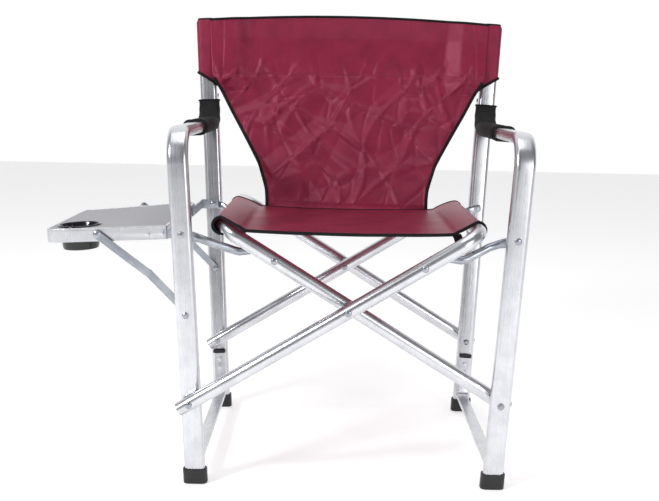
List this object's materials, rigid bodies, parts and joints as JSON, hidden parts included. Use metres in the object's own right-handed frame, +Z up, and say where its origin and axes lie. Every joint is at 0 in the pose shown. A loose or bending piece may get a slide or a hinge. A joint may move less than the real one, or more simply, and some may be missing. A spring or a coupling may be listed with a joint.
{
  "type": "folding camp chair",
  "caption": "Folding aluminium camp chair with armrests, a burgundy cloth seat and back on a scissor frame, and a fold-down side table with a cup holder.",
  "frame": {"origin": "on the floor, at the middle of the whole chair's box with the table up", "axes": "+Z up, the chair faces -Y, +X is to the right seen from the front, and the table is on the -X side"},
  "size_m": [0.8518, 0.5574, 0.842],
  "materials": {
    "aluminium_tube": "satin brushed",
    "zinc_steel": "zinc plated",
    "arm_foam": "matt foam",
    "nylon_cloth": "coated nylon weave",
    "black_webbing": "matt",
    "table_top": "matt grey with a bright rim",
    "black_gloss": "gloss",
    "black_plastic": "matt"
  },
  "bodies": {
    "left_frame": {"left_side_tube": "aluminium_tube", "left_rear_leg": "aluminium_tube", "left_foot_rail": "aluminium_tube", "left_foot_rail_plug": "black_plastic", "left_front_foot_cap": "black_plastic", "left_rear_foot_cap": "black_plastic", "left_post_cap": "black_plastic", "left_rear_leg_cap": "black_plastic", "left_arm_sleeve": "arm_foam", "left_back_sleeve": "nylon_cloth", "left_front_foot_pivot": "zinc_steel", "left_rear_foot_pivot": "zinc_steel", "left_front_link_pivot": "zinc_steel", "left_rear_link_pivot": "zinc_steel", "front_brace_pivot": "zinc_steel", "rear_brace_pivot": "zinc_steel", "back_panel": "nylon_cloth"},
    "right_frame": {"right_side_tube": "aluminium_tube", "right_rear_leg": "aluminium_tube", "right_foot_rail": "aluminium_tube", "right_foot_rail_plug": "black_plastic", "right_front_foot_cap": "black_plastic", "right_rear_foot_cap": "black_plastic", "right_post_cap": "black_plastic", "right_rear_leg_cap": "black_plastic", "right_arm_sleeve": "arm_foam", "right_back_sleeve": "nylon_cloth", "right_front_foot_pivot": "zinc_steel", "right_rear_foot_pivot": "zinc_steel", "right_front_link_pivot": "zinc_steel", "right_rear_link_pivot": "zinc_steel"},
    "left_foot_cross": {"cross_tube_left_foot": "aluminium_tube", "crossing_rivet_front": "zinc_steel", "crossing_rivet_rear": "zinc_steel", "right_front_link_rivet": "zinc_steel", "right_rear_link_rivet": "zinc_steel", "right_seat_strap": "black_webbing"},
    "right_foot_cross": {"cross_tube_right_foot": "aluminium_tube", "left_front_link_rivet": "zinc_steel", "left_rear_link_rivet": "zinc_steel", "seat_fabric": "nylon_cloth", "left_seat_strap": "black_webbing"},
    "left_links": {"left_front_link": "zinc_steel", "left_rear_link": "zinc_steel"},
    "right_links": {"right_front_link": "zinc_steel", "right_rear_link": "zinc_steel"},
    "side_table": {"table_tray": "table_top", "table_skirt": "aluminium_tube", "cup_holder": "black_gloss", "table_front_bracket": "zinc_steel", "table_rear_bracket": "zinc_steel", "table_brace_rod": "zinc_steel"},
    "upper_braces": {"front_upper_brace": "zinc_steel", "rear_upper_brace": "zinc_steel"},
    "lower_braces": {"front_lower_brace": "zinc_steel", "rear_lower_brace": "zinc_steel"}
  },
  "joints": [
    {"name": "chair_fold", "type": "hinge", "parent": "left_frame", "child": "left_foot_cross", "pos_m": [-0.17194, -0.01957, 0.1507], "axis": [0, -1, 0], "range_deg": [0, 37.5]},
    {"name": "scissor_crossing", "type": "hinge", "parent": "left_foot_cross", "child": "right_foot_cross", "pos_m": [0.09746, -0.01957, 0.3164], "axis": [0, 1, 0], "range_deg": [0, 75], "deforming": ["seat_fabric", "left_seat_strap", "right_seat_strap"]},
    {"name": "right_foot", "type": "hinge", "parent": "right_foot_cross", "child": "right_frame", "pos_m": [0.36686, -0.01957, 0.1507], "axis": [0, -1, 0], "range_deg": [0, 37.5], "deforming": ["back_panel"]},
    {"name": "left_link_swing", "type": "hinge", "parent": "left_frame", "child": "left_links", "pos_m": [-0.18754, -0.01957, 0.4408], "axis": [0, -1, 0], "range_deg": [0, 79]},
    {"name": "right_link_swing", "type": "hinge", "parent": "right_frame", "child": "right_links", "pos_m": [0.38246, -0.01957, 0.4408], "axis": [0, 1, 0], "range_deg": [0, 79]},
    {"name": "table_hinge", "type": "hinge", "parent": "left_frame", "child": "side_table", "pos_m": [-0.18754, -0.01957, 0.4408], "axis": [0, -1, 0], "range_deg": [0, 80]},
    {"name": "lower_brace_swing", "type": "hinge", "parent": "left_frame", "child": "lower_braces", "pos_m": [-0.18008, -0.01957, 0.3017], "axis": [0, 1, 0], "range_deg": [0, 46.66]},
    {"name": "upper_brace_swing", "type": "hinge", "parent": "side_table", "child": "upper_braces", "pos_m": [-0.33448, -0.01957, 0.43572], "axis": [0, -1, 0], "range_deg": [0, 29.7]}
  ],
  "couplings": [
    {"joint": "scissor_crossing", "follows": "chair_fold", "ratio": 2},
    {"joint": "right_foot", "follows": "chair_fold", "ratio": 1},
    {"joint": "left_link_swing", "follows": "chair_fold", "ratio": 2.1066},
    {"joint": "right_link_swing", "follows": "chair_fold", "ratio": 2.1066},
    {"joint": "lower_brace_swing", "follows": "table_hinge", "ratio": 0.5831},
    {"joint": "upper_brace_swing", "follows": "table_hinge", "ratio": 0.3711}
  ]
}
